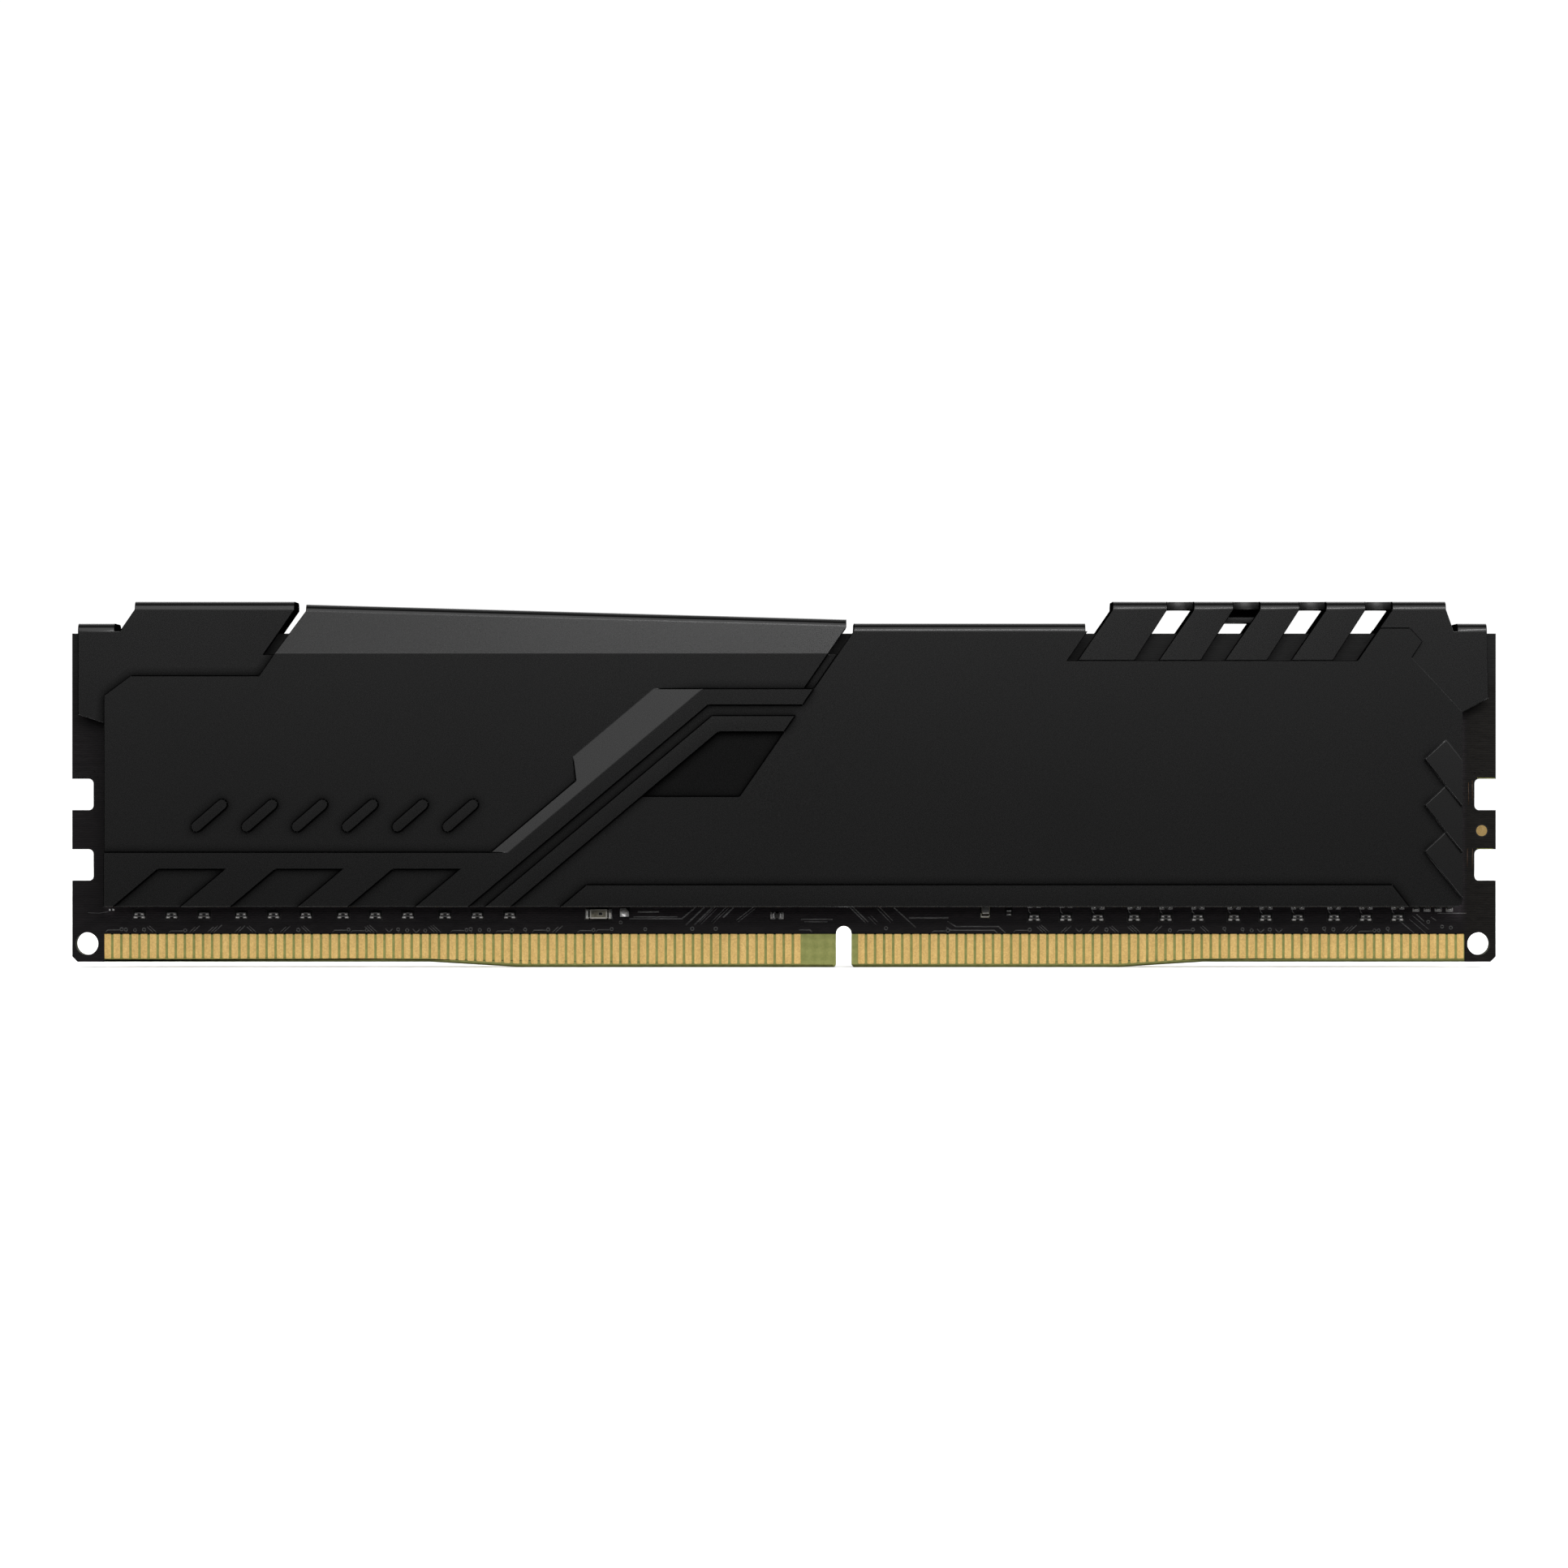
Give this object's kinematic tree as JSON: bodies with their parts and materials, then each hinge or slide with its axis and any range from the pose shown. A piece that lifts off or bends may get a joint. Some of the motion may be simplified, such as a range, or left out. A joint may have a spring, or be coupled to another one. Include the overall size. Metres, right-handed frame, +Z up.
{
  "type": "ram module",
  "caption": "Desktop memory module: notched circuit board with gold edge contacts, memory chips on both faces and a black two-piece folded aluminium heat spreader with fins.",
  "frame": {"origin": "under the middle of the board's lower edge, on the board's mid-plane, at the lowest point of the contact edge", "axes": "+X along the board towards the shorter contact row side, +Y from the front face to the rear face, +Z up from the contact edge to the fins"},
  "size_m": [0.1334, 0.0072, 0.0342],
  "materials": {
    "black_aluminium": "satin black coated stamped sheet, fine grain",
    "solder_mask": "black solder mask over glass-epoxy laminate, semi-matte",
    "gold_contact": "hard gold plating over nickel and copper, fine grain",
    "moulded_epoxy": "matte moulded epoxy",
    "resistor_body": "black glazed film between tinned ends",
    "ceramic_body": "fired ceramic between tinned ends",
    "thermal_pad": "soft grey gap-filling pad, adhesive both sides",
    "bare_laminate": "bare olive-green glass-epoxy laminate",
    "tinned_end": "bright tin-solder ends and fillets"
  },
  "bodies": {
    "root": {"pcb": "solder_mask", "contacts_front_left": "gold_contact", "contacts_front_right": "gold_contact", "contacts_rear_left": "gold_contact", "contacts_rear_right": "gold_contact", "dram_front_1": "moulded_epoxy", "dram_front_2": "moulded_epoxy", "dram_front_3": "moulded_epoxy", "dram_front_4": "moulded_epoxy", "dram_front_5": "moulded_epoxy", "dram_front_6": "moulded_epoxy", "dram_front_7": "moulded_epoxy", "dram_front_8": "moulded_epoxy", "dram_rear_1": "moulded_epoxy", "dram_rear_2": "moulded_epoxy", "dram_rear_3": "moulded_epoxy", "dram_rear_4": "moulded_epoxy", "dram_rear_5": "moulded_epoxy", "dram_rear_6": "moulded_epoxy", "dram_rear_7": "moulded_epoxy", "dram_rear_8": "moulded_epoxy", "spd_eeprom": "moulded_epoxy", "resistor_1": "resistor_body", "resistor_2": "resistor_body", "resistor_3": "resistor_body", "resistor_4": "resistor_body", "resistor_5": "resistor_body", "resistor_6": "resistor_body", "resistor_7": "resistor_body", "resistor_8": "resistor_body", "resistor_9": "resistor_body", "resistor_10": "resistor_body", "resistor_11": "resistor_body", "resistor_12": "resistor_body", "resistor_13": "resistor_body", "resistor_14": "resistor_body", "resistor_15": "resistor_body", "resistor_16": "resistor_body", "resistor_17": "resistor_body", "resistor_18": "resistor_body", "resistor_19": "resistor_body", "resistor_20": "resistor_body", "resistor_21": "resistor_body", "resistor_22": "resistor_body", "resistor_23": "resistor_body", "resistor_24": "resistor_body", "bulk_capacitor": "ceramic_body", "supply_capacitor_1": "ceramic_body", "supply_capacitor_2": "ceramic_body", "supply_capacitor_3": "ceramic_body", "supply_capacitor_4": "ceramic_body", "thermal_pad_front": "thermal_pad", "thermal_pad_rear": "thermal_pad", "heat_spreader_front": "black_aluminium", "heat_spreader_rear": "black_aluminium"}
  },
  "joints": []
}
